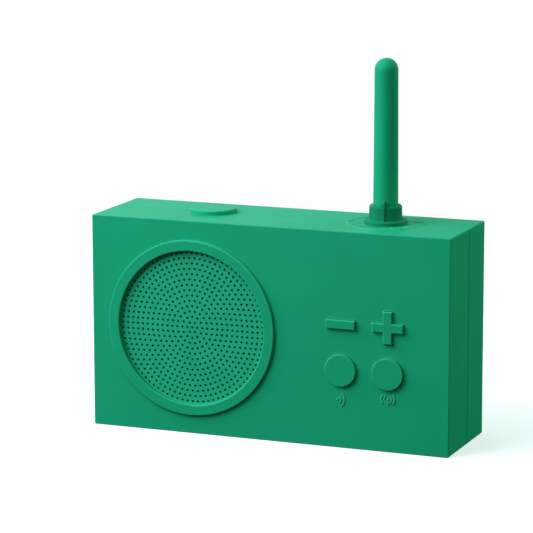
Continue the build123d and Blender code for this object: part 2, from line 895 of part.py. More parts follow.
def spider():
    """The corrugated centring disc between the coil and the frame's floor."""
    seat = basket_seat_y - basket_wall
    outer = magnet_radius - spider_inset
    step = (outer - former_radius) / (2 * spider_folds)
    front = [
        (former_radius + step * i, seat - spider_depth + spider_fold_height * (i % 2))
        for i in range(2 * spider_folds + 1)
    ]
    back = [(radius, y + spider_thickness) for radius, y in front]
    foot = [
        (outer, seat),
        (outer + spider_foot, seat),
        (outer + spider_foot, seat - spider_thickness),
        (outer + spider_thickness, seat - spider_thickness),
    ]
    return turned_y(speaker_x, speaker_z, back + foot + front[::-1])


def top_plate():
    """The steel washer that the coil moves in."""
    return tube_y(speaker_x, speaker_z, top_plate_radius, top_plate_bore, basket_seat_y, top_plate_rear_y)


def magnet():
    """The ferrite ring between the two steel plates."""
    ring = tube_y(speaker_x, speaker_z, magnet_radius, magnet_inner_radius, top_plate_rear_y, magnet_rear_y)
    return chamfer(ring.edges().filter_by(GeomType.CIRCLE), magnet_chamfer)


def yoke():
    """The steel back plate with its pole and the vent through it."""
    plate = rod_y(speaker_x, speaker_z, top_plate_radius, magnet_rear_y, yoke_rear_y)
    plate = chamfer(plate.edges().group_by(Axis.Y)[-1], yoke_chamfer)
    pole = rod_y(speaker_x, speaker_z, pole_radius, basket_seat_y, magnet_rear_y)
    vent = rod_y(speaker_x, speaker_z, yoke_vent_radius, basket_seat_y - past, yoke_rear_y + past)
    return plate + pole - vent


def driver_terminals():
    """The tag strip on the frame's edge, with its two tags."""
    start = basket_front_y + basket_flange_thickness
    left = speaker_x + basket_flange_radius - terminal_inset
    right = left + terminal_strip
    half = terminal_strip_length / 2
    strip = block((left, right), (start, start + terminal_strip_height), (speaker_z - half, speaker_z + half))
    for z in (speaker_z - terminal_pitch / 2, speaker_z + terminal_pitch / 2):
        strip += block(
            (right, right + tag_length),
            (start + tag_height, start + tag_height + tag_thickness),
            (z - tag_length / 2, z + tag_length / 2),
        )
    return strip


# ---- buttons and switches ----
def button_cap(outline, x, z):
    """A front key: the raised cap with a socket for its plunger."""
    cap = front_sketch_solid(outline(), x, z, cap_front_y, cap_back_y)
    cap = fillet(cap.edges().group_by(Axis.Y)[0], button_edge_fillet)
    return cap - rod_y(x, z, plunger_peg_radius, peg_start_y, cap_back_y + past)


def button_plunger(x, z):
    """The rigid pusher behind a cap: peg in the cap, stem, and a flange inside the wall."""
    peg = rod_y(x, z, plunger_peg_radius, peg_start_y, housing_front_y)
    stem = rod_y(x, z, plunger_radius, housing_front_y, plunger_end_y)
    flange_start = inside_front_y + plunger_flange_gap
    flange_end = flange_start + plunger_flange_thickness
    return peg + stem + rod_y(x, z, plunger_flange_radius, flange_start, flange_end)


def switch_actuator(x, z):
    """The small round key of a push switch behind a front button."""
    return rod_y(x, z, actuator_radius, plunger_end_y, plunger_end_y + actuator_length)


def switch_shape():
    """A square push switch standing on z=0 with the round bore of its actuator and four legs."""
    half = switch_side / 2
    body = block((-half, half), (-half, half), (0, switch_height))
    body = fillet(body.edges().filter_by(Axis.Z), switch_corner)
    for x in (-half, half):
        for y in (-half * switch_leg_share, half * switch_leg_share):
            leg = Box(switch_leg_width, switch_leg_depth, switch_leg_height)
            body += Pos(x, y, switch_leg_height / 2) * leg
    bore = actuator_radius + actuator_clearance
    return body - rod_z(0, 0, bore, switch_height - actuator_bore_depth, switch_height + past)


def key_switches():
    """The switches behind the front buttons and the one under the power button."""
    group = []
    for outline, x, z in buttons.values():
        group.append(Pos(x, board_front_y, z) * Rot(90, 0, 0) * switch_shape())
    group.append(Pos(power_x, power_y, power_board_top_z) * switch_shape())
    return group


def power_cap():
    """The low round key on the top, with a small sunk mark: an open circle and a bar."""
    cap = rod_z(power_x, power_y, power_radius, power_cap_bottom_z, power_top_z)
    cap = fillet(cap.edges().group_by(Axis.Z)[-1], power_edge_fillet)
    line = power_icon_line / 2
    icon = Circle(power_icon_radius + line) - Circle(power_icon_radius - line)
    icon -= Pos(0, power_icon_radius, 0) * Rectangle(power_icon_radius, power_icon_radius)
    icon += Pos(0, power_icon_radius, 0) * Rectangle(power_icon_line, power_icon_bar)
    cap -= Pos(power_x, power_y, power_top_z - power_icon_depth) * extrude(icon, past)
    return cap - rod_z(power_x, power_y, plunger_peg_radius, power_cap_bottom_z - past, power_peg_top_z)


def power_plunger():
    """The rigid pusher under the power key."""
    peg = rod_z(power_x, power_y, plunger_peg_radius, housing_top_z, power_peg_top_z)
    stem = rod_z(power_x, power_y, plunger_radius, power_plunger_end_z, housing_top_z)
    flange_top = inside_top_z - plunger_flange_gap
    return peg + stem + rod_z(
        power_x, power_y, plunger_flange_radius, flange_top - plunger_flange_thickness, flange_top
    )


def power_actuator():
    """The round key of the push switch under the power key."""
    return rod_z(
        power_x, power_y, actuator_radius, power_plunger_end_z - actuator_length, power_plunger_end_z
    )


# ---- tuning knob and aerial ----
def tuner_knob():
    """Flange, tapered collar, pointer rib and the stem that passes into the housing."""
    flange = rod_z(0, 0, knob_flange_radius, flange_bottom_z, flange_top_z)
    flange = fillet(flange.edges().group_by(Axis.Z)[-1], knob_flange_height * 0.4)
    collar = Pos(0, 0, flange_top_z + collar_height / 2) * Cone(
        collar_radius_bottom, collar_radius_top, collar_height
    )
    collar = fillet(collar.edges().group_by(Axis.Z)[-1], collar_shoulder)
    pointer_top = collar_top_z + pointer_above_collar
    pointer = block(
        (-pointer_width / 2, pointer_width / 2),
        (-pointer_reach, -aerial_radius_top),
        (flange_top_z - pointer_sunk, pointer_top),
    )
    pointer = fillet(pointer.edges().group_by(Axis.Z)[-1].sort_by(Axis.Y)[0], pointer_top_fillet)
    stem = rod_z(0, 0, knob_stem_radius, stem_bottom_z, flange_bottom_z)
    knob = flange + collar + Rot(0, 0, pointer_turn) * pointer + stem
    knob -= aerial_outline()
    knob -= rod_z(0, 0, shaft_radius, stem_bottom_z - past, shaft_top_z)
    knob -= tube_z(knob_stem_radius + past, clip_bore_radius, clip_bottom_z, clip_top_z)
    return Pos(tuner_x, tuner_y, 0) * knob


def aerial_outline():
    """The tapered rod with its round end, from its seat in the collar."""
    length = aerial_top_z - aerial_radius_top - aerial_bottom_z
    rod = Pos(0, 0, aerial_bottom_z + length / 2) * Cone(aerial_radius_bottom, aerial_radius_top, length)
    return rod + Pos(0, 0, aerial_top_z - aerial_radius_top) * Sphere(aerial_radius_top)


def aerial_sheath():
    """The rubber rod, hollow for the winding."""
    core_top = aerial_top_z - aerial_radius_top - aerial_core_end_wall
    sheath = aerial_outline() - rod_z(0, 0, aerial_core_radius, aerial_bottom_z - past, core_top)
    return Pos(tuner_x, tuner_y, 0) * sheath


def aerial_coil():
    """The springy winding that makes the short aerial."""
    height = aerial_coil_pitch * aerial_coil_turns
    path = Helix(aerial_coil_pitch, height, aerial_coil_radius)
    section = Plane(origin=path @ 0, z_dir=path % 0) * Circle(aerial_wire_radius)
    wire = sweep(section, path=path, is_frenet=True)
    return Pos(tuner_x, tuner_y, aerial_coil_start_z) * wire


def aerial_ferrule():
    """The brass plug that joins the winding to the knob."""
    top = aerial_coil_start_z - aerial_wire_radius - ferrule_coil_gap
    plug = rod_z(0, 0, aerial_core_radius - ferrule_clearance, aerial_bottom_z, top)
    return Pos(tuner_x, tuner_y, 0) * chamfer(plug.edges().group_by(Axis.Z)[-1], ferrule_chamfer)


def tuner_shaft():
    """The brass shaft from the encoder up into the knob's stem."""
    shaft = rod_z(tuner_x, tuner_y, shaft_radius, encoder_top_z - shaft_in_encoder, shaft_top_z)
    return chamfer(shaft.edges().group_by(Axis.Z)[-1], shaft_chamfer)


def knob_clip():
    """The open ring that stops the knob from being pulled out."""
    ring = tube_z(clip_radius, clip_bore_radius, clip_bottom_z, clip_top_z)
    ring -= block(
        (0, clip_radius + past),
        (-clip_slot / 2, clip_slot / 2),
        (clip_bottom_z - past, clip_top_z + past),
    )
    return Pos(tuner_x, tuner_y, 0) * ring


def tuner_encoder():
    """The rotary encoder that reads the knob: a square body with a round bushing."""
    half = encoder_side / 2
    body = block((-half, half), (-half, half), (tuner_board_top_z, encoder_top_z))
    body = fillet(body.edges().filter_by(Axis.Z), encoder_corner)
    body += rod_z(0, 0, bushing_radius, encoder_top_z, bushing_top_z)
    bore = shaft_radius + shaft_clearance
    body -= rod_z(0, 0, bore, encoder_top_z - shaft_in_encoder - shaft_end_gap, bushing_top_z + past)
    return Pos(tuner_x, tuner_y, 0) * body


# ---- boards ----
def main_board():
    """The board with the four front switches on one side and the electronics on the other."""
    board = block(
        (main_board_left, main_board_right),
        (board_front_y, board_rear_y),
        (main_board_bottom, main_board_top),
    )
    for x, z in main_board_screws:
        board -= rod_y(x, z, screw_hole_radius, board_front_y - past, board_rear_y + past)
    return board


def hanging_board(x, top_z, posts):
    """A small board screwed up to two posts under the top."""
    half_length = small_board_length / 2
    half_depth = small_board_depth / 2
    y = cover_split_y
    bottom = top_z - small_board_thickness
    board = block((x - half_length, x + half_length), (y - half_depth, y + half_depth), (bottom, top_z))
    for px, py in posts:
        board -= rod_z(px, py, screw_hole_radius, bottom - past, top_z + past)
    return board


def port_board():
    """The board that carries the two rear sockets."""
    half = port_board_length / 2
    board = block(
        (port_x - half, port_x + half),
        (inside_rear_y - port_board_depth, inside_rear_y - board_edge_gap),
        (port_board_bottom_z, port_board_top_z),
    )
    for x, y in port_board_screws:
        board -= rod_z(x, y, screw_hole_radius, port_board_bottom_z - past, port_board_top_z + past)
    return board


def wireless_module():
    """A small radio module under its metal can."""
    x, z = module_place
    width, height, thickness = module_size
    base = Pos(x, board_rear_y + thickness / 2, z) * Box(width, thickness, height)
    can_width, can_height, can_depth = module_can
    can_y = board_rear_y + thickness + can_depth / 2
    can = Pos(x + module_can_shift, can_y, z) * Box(can_width, can_depth, can_height)
    return base + fillet(can.edges().filter_by(Axis.Y), module_can_corner)


def amplifier_chip():
    """The amplifier: a square moulded body on a row of legs along two sides."""
    x, z = amplifier_place
    half = amplifier_side / 2
    body_front = board_rear_y + chip_leg_thickness * 0.75
    body = block((x - half, x + half), (body_front, board_rear_y + amplifier_height), (z - half, z + half))
    for index in range(amplifier_pins):
        leg_z = z + (index - (amplifier_pins - 1) / 2) * amplifier_side / amplifier_pins
        leg = Box(amplifier_side + 2 * chip_leg_reach, chip_leg_thickness, chip_leg_thickness)
        body += Pos(x, board_rear_y + chip_leg_thickness / 2, leg_z) * leg
    return body


def capacitors():
    """The two round capacitors of the amplifier's supply."""
    group = []
    for x, z in capacitor_places:
        can = rod_y(x, z, capacitor_radius, board_rear_y, board_rear_y + capacitor_height)
        group.append(fillet(can.edges().group_by(Axis.Y)[-1], capacitor_fillet))
    return group


def lead_sockets():
    """The plug-in sockets for the battery, loudspeaker and port leads."""
    group = []
    width, height, depth = lead_socket_size
    for x, z in (battery_socket_place, speaker_socket_place, port_socket_place):
        body = Pos(x, board_rear_y + depth / 2, z) * Box(width, depth, height)
        hollow = Box(width - 2 * lead_socket_wall, depth, height - 2 * lead_socket_wall)
        group.append(body - Pos(x, board_rear_y + lead_socket_floor + depth / 2, z) * hollow)
    return group


def battery_cell():
    """The flat lithium cell."""
    cell = block(
        (battery_left, battery_right),
        (battery_front_y, inside_rear_y),
        (battery_bottom, battery_top),
    )
    return fillet(cell.edges().filter_by(Axis.Z), battery_fillet)


# ---- rear port ----
def usb_outline_block(extra, start, end):
    """The charging socket's rounded outline, grown by a clearance."""
    half_wide = usb_width / 2 + extra
    half_high = usb_height / 2 + extra
    body = block((usb_x - half_wide, usb_x + half_wide), (start, end), (usb_z - half_high, usb_z + half_high))
    return fillet(body.edges().filter_by(Axis.Y), min(usb_height / 2, half_high) * usb_round_share)


def charging_socket():
    """The charging socket: a flat metal shell with a thin tongue in it."""
    start = socket_mouth_y - usb_depth
    floor_y = start + usb_back_wall
    body = usb_outline_block(0, start, socket_mouth_y)
    hollow = usb_outline_block(-usb_shell, floor_y, socket_mouth_y + past)
    tongue_width, tongue_height = usb_tongue
    tongue = block(
        (usb_x - tongue_width / 2, usb_x + tongue_width / 2),
        (floor_y, socket_mouth_y - usb_tongue_set_back),
        (usb_z - tongue_height / 2, usb_z + tongue_height / 2),
    )
    return body - hollow + tongue


def audio_socket():
    """The socket of a 3.5 mm plug: a square body with a blind bore."""
    half = audio_body / 2
    start = socket_mouth_y - audio_depth
    body = block((audio_x - half, audio_x + half), (start, socket_mouth_y), (port_z - half, port_z + half))
    return body - rod_y(audio_x, port_z, audio_bore_radius, start + audio_back_wall, socket_mouth_y + past)


def port_flap():
    """The sealing flap with its hinge barrel and a pad that covers each socket's mouth."""
    low_z = flap_bottom_z
    high_z = flap_top_z
    plate = block((flap_left_x, flap_right_x), (flap_back_y, rear_y), (low_z, high_z))
    corners = plate.edges().filter_by(Axis.Y).group_by(Axis.X)[-1]
    plate = fillet(corners, flap_corner)
    barrel = rod_z(flap_left_x, flap_pin_y, flap_thickness / 2, low_z, high_z)
    pad_start = flap_back_y - flap_pad_height
    usb_pad = usb_outline_block(flap_pad_margin, pad_start, flap_back_y)
    audio_pad = rod_y(audio_x, port_z, audio_pad_radius, pad_start, flap_back_y)
    flap = plate + barrel + usb_pad + audio_pad
    bore = flap_pin_radius + flap_pin_clearance
    return flap - rod_z(flap_left_x, flap_pin_y, bore, low_z - past, high_z + past)


def flap_pin():
    """The steel pin that the flap turns on, held in the rear cover above and below it."""
    low, high = pin_ends()
    return rod_z(flap_left_x, flap_pin_y, flap_pin_radius, low, high)


# ---- leads ----
def lead(points):
    """A round lead along straight runs joined by arcs."""
    path = FilletPolyline(*points, radius=lead_bend)
    section = Plane(origin=path @ 0, z_dir=path % 0) * Circle(lead_radius)
    return sweep(section, path=path)


def speaker_leads():
    """Two leads from the loudspeaker's tags to the main board."""
    tag_x = speaker_x + basket_flange_radius - terminal_inset + terminal_strip + tag_length / 2
    tag_y = basket_front_y + basket_flange_thickness + tag_height + tag_thickness + lead_radius
    socket_x, socket_z = speaker_socket_place
    end_x = socket_x - lead_socket_size[0] / 5
    end_y = board_rear_y + lead_above_board + lead_radius
    group = []
    for side in (-1, 1):
        tag_z = speaker_z + side * terminal_pitch / 2
        end_z = socket_z + side * speaker_lead_pitch / 2
        points = [
            (tag_x, tag_y, tag_z),
            (tag_x + speaker_lead_first_run, tag_y, tag_z),
            (tag_x + speaker_lead_drop_reach, end_y, end_z + side * speaker_lead_spread),
            (end_x, end_y, end_z),
        ]
        group.append(lead(points))
    return group


def battery_leads():
    """Two leads from the cell's end to its socket on the main board."""
    socket_x, socket_z = battery_socket_place
    cell_y = battery_front_y + battery_lead_depth
    end_y = board_rear_y + lead_above_board + lead_radius
    turn_x = battery_left - battery_lead_reach
    group = []
    for side in (-1, 1):
        z = socket_z + side * battery_lead_pitch / 2
        points = [
            (battery_left - battery_lead_gap, cell_y, z),
            (turn_x, cell_y, z),
            (turn_x, end_y, z),
            (socket_x, end_y, z),
        ]
        group.append(lead(points))
    return group


def main():
    """Build and write every sub-part."""
    os.makedirs("parts", exist_ok=True)
    save("front_cover", front_cover())
    save("rear_cover", rear_cover())
    save("front_housing", front_housing())
    save("rear_housing", rear_housing())
    save("housing_seal", seal_ring())
    save("housing_screws", Compound(case_screw_group()))
    save("board_screws", Compound(board_screw_group()))

    save("speaker_ring", speaker_ring())
    save("speaker_grille", speaker_grille())
    save("speaker_mesh", speaker_mesh())
    save("driver_gasket", driver_gasket())
    save("driver_basket", driver_basket())
    save("driver_surround", half_roll())
    save("driver_cone", driver_cone())
    save("driver_dust_cap", dust_cap())
    save("voice_coil", voice_coil())
    save("driver_spider", spider())
    save("driver_top_plate", top_plate())
    save("driver_magnet", magnet())
    save("driver_yoke", yoke())
    save("driver_terminals", driver_terminals())
    save("driver_screws", Compound(driver_screw_group()))

    for name, (outline, x, z) in buttons.items():
        save(f"{name}_button", button_cap(outline, x, z))
        save(f"{name}_plunger", button_plunger(x, z))
        save(f"{name}_actuator", switch_actuator(x, z))
    save("key_switches", Compound(key_switches()))
    save("power_button", power_cap())
    save("power_plunger", power_plunger())
    save("power_actuator", power_actuator())

    save("tuner_knob", tuner_knob())
    save("aerial_sheath", aerial_sheath())
    save("aerial_coil", aerial_coil())
    save("aerial_ferrule", aerial_ferrule())
    save("tuner_shaft", tuner_shaft())
    save("knob_clip", knob_clip())
    save("tuner_encoder", tuner_encoder())

    save("main_board", main_board())
    save("power_board", hanging_board(power_x, power_board_top_z, power_posts))
    save("tuner_board", hanging_board(tuner_x, tuner_board_top_z, tuner_posts))
    save("port_board", port_board())
    save("wireless_module", wireless_module())
    save("amplifier_chip", amplifier_chip())
    save("capacitors", Compound(capacitors()))
    save("lead_sockets", Compound(lead_sockets()))
    save("battery_cell", battery_cell())
    save("battery_leads", Compound(battery_leads()))
    save("speaker_leads", Compound(speaker_leads()))

    save("charging_socket", charging_socket())
    save("audio_socket", audio_socket())
    save("port_flap", port_flap())
    save("flap_pin", flap_pin())


main()
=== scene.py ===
import json
from math import cos, radians, sin, tau

import bmesh
import bpy
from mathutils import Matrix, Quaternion, Vector


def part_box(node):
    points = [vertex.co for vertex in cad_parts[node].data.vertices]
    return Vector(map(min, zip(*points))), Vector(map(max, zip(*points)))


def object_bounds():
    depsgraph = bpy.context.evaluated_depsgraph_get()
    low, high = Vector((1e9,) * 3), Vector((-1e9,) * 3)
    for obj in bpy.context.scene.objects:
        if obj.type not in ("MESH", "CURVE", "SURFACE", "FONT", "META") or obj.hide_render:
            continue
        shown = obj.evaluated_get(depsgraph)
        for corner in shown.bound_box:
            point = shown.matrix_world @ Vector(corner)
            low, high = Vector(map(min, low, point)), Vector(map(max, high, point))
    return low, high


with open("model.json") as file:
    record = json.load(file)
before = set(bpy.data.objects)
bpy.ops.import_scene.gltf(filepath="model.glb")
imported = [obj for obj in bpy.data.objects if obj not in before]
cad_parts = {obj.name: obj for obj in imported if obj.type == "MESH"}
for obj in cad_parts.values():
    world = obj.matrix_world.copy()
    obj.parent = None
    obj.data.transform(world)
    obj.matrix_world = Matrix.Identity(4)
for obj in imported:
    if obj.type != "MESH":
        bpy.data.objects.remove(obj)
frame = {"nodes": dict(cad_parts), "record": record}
cad_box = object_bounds()
scene = bpy.context.scene
MM = 0.001


# ---------------------------------------------------------------- camera and lamps
def direction(azimuth, elevation):
    """A unit vector from the object: azimuth right of the front, elevation above the table."""
    turn = radians(azimuth)
    rise = radians(elevation)
    return Vector((sin(turn) * cos(rise), -cos(turn) * cos(rise), sin(rise)))


def aim(thing, place, target, roll=0.0):
    """Stand a camera or a lamp at place, point it at target and roll it about its own axis."""
    turn = (target - place).to_track_quat("-Z", "Y") @ Quaternion((0.0, 0.0, 1.0), radians(roll))
    thing.location = place
    thing.rotation_euler = turn.to_euler()
    scene.collection.objects.link(thing)


def add_camera(target, azimuth, elevation, distance, roll, lens):
    """A long lens, so that the box keeps nearly parallel edges."""
    data = bpy.data.cameras.new("camera")
    data.lens = lens
    data.sensor_width = 36.0
    data.clip_end = 20.0
    camera = bpy.data.objects.new("camera", data)
    aim(camera, target + direction(azimuth, elevation) * distance, target, roll)
    scene.camera = camera


def add_softbox(name, azimuth, elevation, distance, size, power, colour):
    """A rectangular studio softbox aimed at the middle of the box."""
    data = bpy.data.lights.new(name, "AREA")
    data.shape = "RECTANGLE"
    data.size, data.size_y = size
    data.energy = power
    data.color = colour
    target = Vector((0.0, 0.0, box_middle_z))
    aim(bpy.data.objects.new(name, data), target + direction(azimuth, elevation) * distance, target)


# the camera stands right of the front and a little above it, and looks just left of the middle
view_target = Vector((-8.17, 0.0, 60.99)) * MM
add_camera(view_target, azimuth=21.89, elevation=10.91, distance=1.0503, roll=-0.1, lens=191.26)
scene.view_settings.view_transform = "Standard"

# a large cool key at the upper left rakes over the front
box_middle_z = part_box("front_housing")[1][2] / 2
add_softbox("key_softbox", azimuth=-50.0, elevation=40.0, distance=0.70,
            size=(0.66, 0.56), power=10.2, colour=(0.77, 0.76, 1.0))
# two weak lamps from behind: one lifts the right side, one puts a sheen on the top
add_softbox("right_softbox", azimuth=128.0, elevation=25.0, distance=0.50,
            size=(0.3, 0.2), power=1.05, colour=(0.5, 1.0, 0.9))
add_softbox("rear_softbox", azimuth=218.0, elevation=22.0, distance=0.70,
            size=(0.5, 0.3), power=1.1, colour=(0.72, 0.66, 1.0))


# ---------------------------------------------------------------- building materials
def linear(hex_colour):
    """An sRGB hex colour as the linear numbers that shaders take."""
    parts = [int(hex_colour[i:i + 2], 16) / 255 for i in (1, 3, 5)]
    return [p / 12.92 if p <= 0.04045 else ((p + 0.055) / 1.055) ** 2.4 for p in parts] + [1.0]


def connect(tree, node, links):
    """Feed a node's inputs from other nodes' outputs."""
    for name, output in links.items():
        tree.links.new(output, node.inputs[name])


def add_node(tree, kind, settings=None, links=None, output=0):
    """One node with its settings and links; gives back the output that is used."""
    node = tree.nodes.new(kind)
    for name, value in (settings or {}).items():
        if name == "stops":
            for stop, (position, hex_colour) in zip(node.color_ramp.elements, value):
                stop.position = position
                stop.color = linear(hex_colour)
        elif isinstance(name, int) or name in node.inputs:
            node.inputs[name].default_value = value
        else:
            setattr(node, name, value)
    connect(tree, node, links or {})
    return node.outputs[output]


def start_material(name, roughness, ior=None, metallic=0.0, specular=0.5):
    """A new material: its node tree, its shader and the piece's own coordinates in metres."""
    material = bpy.data.materials.new(name)
    material.use_nodes = True
    tree = material.node_tree
    shader = tree.nodes["Principled BSDF"]
    if ior:
        shader.inputs["IOR"].default_value = ior
    shader.inputs["Metallic"].default_value = metallic
    shader.inputs["Roughness"].default_value = roughness
    shader.inputs["Specular IOR Level"].default_value = specular
    place = add_node(tree, "ShaderNodeTexCoord", output="Object")
    return material, tree, shader, place


# a wave texture at scale 1 repeats every tau / 20 metres
WAVE = tau / 20.0


# ---------------------------------------------------------------- the green outside
def moulded_silicone(name, low, high, painted_highlight_green, grain_depth):
    """Silicone rubber from a blasted mould: an even, saturated matte green with a fine dry grain, and a
    painted highlight along its edges.
    """
    material, tree, shader, place = start_material(name, roughness=0.62, ior=1.41, specular=0.12)
    clouds = add_node(tree, "ShaderNodeTexNoise", {"Scale": 1 / (18 * MM)}, {"Vector": place})
    green = add_node(tree, "ShaderNodeValToRGB", {"stops": ((0.3, low), (0.7, high))}, {"Fac": clouds})
    # a painted highlight makes the edges paler: there the rounded normal leaves the plain one
    rounded = add_node(tree, "ShaderNodeBevel", {"Radius": 0.5 * MM, "samples": 6})
    plain = add_node(tree, "ShaderNodeNewGeometry", output="Normal")
    dot = {"operation": "DOT_PRODUCT"}
    match = add_node(tree, "ShaderNodeVectorMath", dot, {0: rounded, 1: plain}, "Value")
    painted_highlight_mask = add_node(tree, "ShaderNodeMapRange", {"From Min": 1.0, "From Max": 0.9}, {"Value": match})
    pale = {"data_type": "RGBA", 7: linear(painted_highlight_green)}
    # the painted highlight colour is mixed in along the edges
    body = add_node(tree, "ShaderNodeMix", pale, {"Factor": painted_highlight_mask, 6: green}, 2)
    # the blasted grain is about 0.1 mm, drawn at 0.5 mm so that it shows
    grain = add_node(tree, "ShaderNodeTexNoise", {"Scale": 1 / (0.5 * MM), "Detail": 3.0}, {"Vector": place})
    bump = add_node(tree, "ShaderNodeBump", {"Distance": grain_depth}, {"Height": grain})
    matt = add_node(tree, "ShaderNodeMapRange", {"To Min": 0.56, "To Max": 0.70}, {"Value": grain})
    connect(tree, shader, {"Base Color": body, "Normal": bump, "Roughness": matt})
    return material


def painted_grille():
    """A moulded plastic disc, sprayed to match the silicone: the same green, a little smoother."""
    material, tree, shader, place = start_material(
        "painted_moulded_grille", roughness=0.55, ior=1.46, specular=0.18)
    clouds = add_node(tree, "ShaderNodeTexNoise", {"Scale": 1 / (9 * MM)}, {"Vector": place})
    paint = {"stops": ((0.3, "#149c6d"), (0.7, "#18a273"))}
    green = add_node(tree, "ShaderNodeValToRGB", paint, {"Fac": clouds})
    # sprayed paint has an orange peel of about 0.3 mm, drawn at 0.6 mm
    peel = add_node(tree, "ShaderNodeTexNoise", {"Scale": 1 / (0.6 * MM)}, {"Vector": place})
    bump = add_node(tree, "ShaderNodeBump", {"Distance": 0.008 * MM}, {"Height": peel})
    connect(tree, shader, {"Base Color": green, "Normal": bump})
    return material


def woven_polyester():
    """Dust cloth: a dark green plain weave, lighter where a thread rises."""
    material, tree, shader, place = start_material(
        "woven_polyester_cloth", roughness=0.85, ior=1.55, specular=0.2)
    # threads are 0.15 mm apart, drawn at 0.45 mm so that the weave shows
    across = {"bands_direction": "X", "Scale": WAVE / (0.45 * MM), "Detail": 1.0}
    along = {"bands_direction": "Z", "Scale": WAVE / (0.45 * MM), "Detail": 1.0}
    warp = add_node(tree, "ShaderNodeTexWave", across, {"Vector": place}, "Fac")
    weft = add_node(tree, "ShaderNodeTexWave", along, {"Vector": place}, "Fac")
    weave = add_node(tree, "ShaderNodeMath", {"operation": "MULTIPLY"}, {0: warp, 1: weft})
    threads = {"stops": ((0.1, "#0a2417"), (0.8, "#23593d"))}
    cloth = add_node(tree, "ShaderNodeValToRGB", threads, {"Fac": weave})
    bump = add_node(tree, "ShaderNodeBump", {"Distance": 0.06 * MM}, {"Height": weave})
    connect(tree, shader, {"Base Color": cloth, "Normal": bump})
    return material


# ---------------------------------------------------------------- the box inside
def moulded_abs():
    """Moulded ABS: dark grey with a spark-eroded texture and a faint satin shine."""
    material, tree, shader, place = start_material("moulded_abs", roughness=0.5, ior=1.54)
    clouds = add_node(tree, "ShaderNodeTexNoise", {"Scale": 1 / (14 * MM)}, {"Vector": place})
    greys = {"stops": ((0.3, "#24272a"), (0.7, "#2c3033"))}
    grey = add_node(tree, "ShaderNodeValToRGB", greys, {"Fac": clouds})
    # the eroded grain is 0.6 mm across
    grain = add_node(tree, "ShaderNodeTexNoise", {"Scale": 1 / (0.6 * MM), "Detail": 4.0}, {"Vector": place})
    bump = add_node(tree, "ShaderNodeBump", {"Distance": 0.02 * MM}, {"Height": grain})
    satin = add_node(tree, "ShaderNodeMapRange", {"To Min": 0.42, "To Max": 0.60}, {"Value": grain})
    connect(tree, shader, {"Base Color": grey, "Normal": bump, "Roughness": satin})
    return material


def moulded_nitrile():
    """Moulded nitrile rubber: black and dull, with a pale bloom in patches."""
    material, tree, shader, place = start_material(
        "moulded_nitrile_rubber", roughness=0.75, ior=1.52, specular=0.3)
    bloom = add_node(tree, "ShaderNodeTexNoise", {"Scale": 1 / (4 * MM), "Detail": 4.0}, {"Vector": place})
    blacks = {"stops": ((0.3, "#101112"), (0.7, "#202224"))}
    black = add_node(tree, "ShaderNodeValToRGB", blacks, {"Fac": bloom})
    skin = add_node(tree, "ShaderNodeTexNoise", {"Scale": 1 / (0.4 * MM)}, {"Vector": place})
    bump = add_node(tree, "ShaderNodeBump", {"Distance": 0.015 * MM}, {"Height": skin})
    connect(tree, shader, {"Base Color": black, "Normal": bump})
    return material


def moulded_nylon():
    """Moulded nylon: milky off-white with soft flow marks."""
    material, tree, shader, place = start_material("moulded_nylon", roughness=0.42, ior=1.53)
    flow = add_node(tree, "ShaderNodeTexNoise", {"Scale": 1 / (3 * MM), "Detail": 3.0}, {"Vector": place})
    whites = {"stops": ((0.3, "#d9d6c9"), (0.7, "#e9e7dd"))}
    white = add_node(tree, "ShaderNodeValToRGB", whites, {"Fac": flow})
    skin = add_node(tree, "ShaderNodeTexNoise", {"Scale": 1 / (0.5 * MM)}, {"Vector": place})
    bump = add_node(tree, "ShaderNodeBump", {"Distance": 0.008 * MM}, {"Height": skin})
    satin = add_node(tree, "ShaderNodeMapRange", {"To Min": 0.36, "To Max": 0.50}, {"Value": flow})
    connect(tree, shader, {"Base Color": white, "Normal": bump, "Roughness": satin})
    return material


# ---------------------------------------------------------------- metal pieces
def zinc_plated_steel():
    """Zinc-plated steel: bright blue-grey with cloudy patches of plating."""
    material, tree, shader, place = start_material("zinc_plated_steel", roughness=0.32, metallic=1.0)
    patches = {"Scale": 1 / (1.2 * MM), "Detail": 4.0}
    clouds = add_node(tree, "ShaderNodeTexNoise", patches, {"Vector": place})
    plating = {"stops": ((0.3, "#9aa0a6"), (0.7, "#bcc2c7"))}
    zinc = add_node(tree, "ShaderNodeValToRGB", plating, {"Fac": clouds})
    crystals = add_node(tree, "ShaderNodeTexNoise", {"Scale": 1 / (0.25 * MM)}, {"Vector": place})
    bump = add_node(tree, "ShaderNodeBump", {"Distance": 0.004 * MM}, {"Height": crystals})
    shine = add_node(tree, "ShaderNodeMapRange", {"To Min": 0.24, "To Max": 0.42}, {"Value": clouds})
    connect(tree, shader, {"Base Color": zinc, "Normal": bump, "Roughness": shine})
    return material


def powder_coated_steel():
    """Pressed sheet steel with black powder coat: satin black with a pebbled skin."""
    material, tree, shader, place = start_material("powder_coated_pressed_steel", roughness=0.45, ior=1.5)
    clouds = add_node(tree, "ShaderNodeTexNoise", {"Scale": 1 / (6 * MM)}, {"Vector": place})
    blacks = {"stops": ((0.3, "#131415"), (0.7, "#1c1d1f"))}
    black = add_node(tree, "ShaderNodeValToRGB", blacks, {"Fac": clouds})
    # powder flows out into pebbles about 0.7 mm across
    pebbles = add_node(tree, "ShaderNodeTexNoise", {"Scale": 1 / (0.7 * MM)}, {"Vector": place})
    bump = add_node(tree, "ShaderNodeBump", {"Distance": 0.03 * MM}, {"Height": pebbles})
    satin = add_node(tree, "ShaderNodeMapRange", {"To Min": 0.36, "To Max": 0.55}, {"Value": pebbles})
    connect(tree, shader, {"Base Color": black, "Normal": bump, "Roughness": satin})
    return material


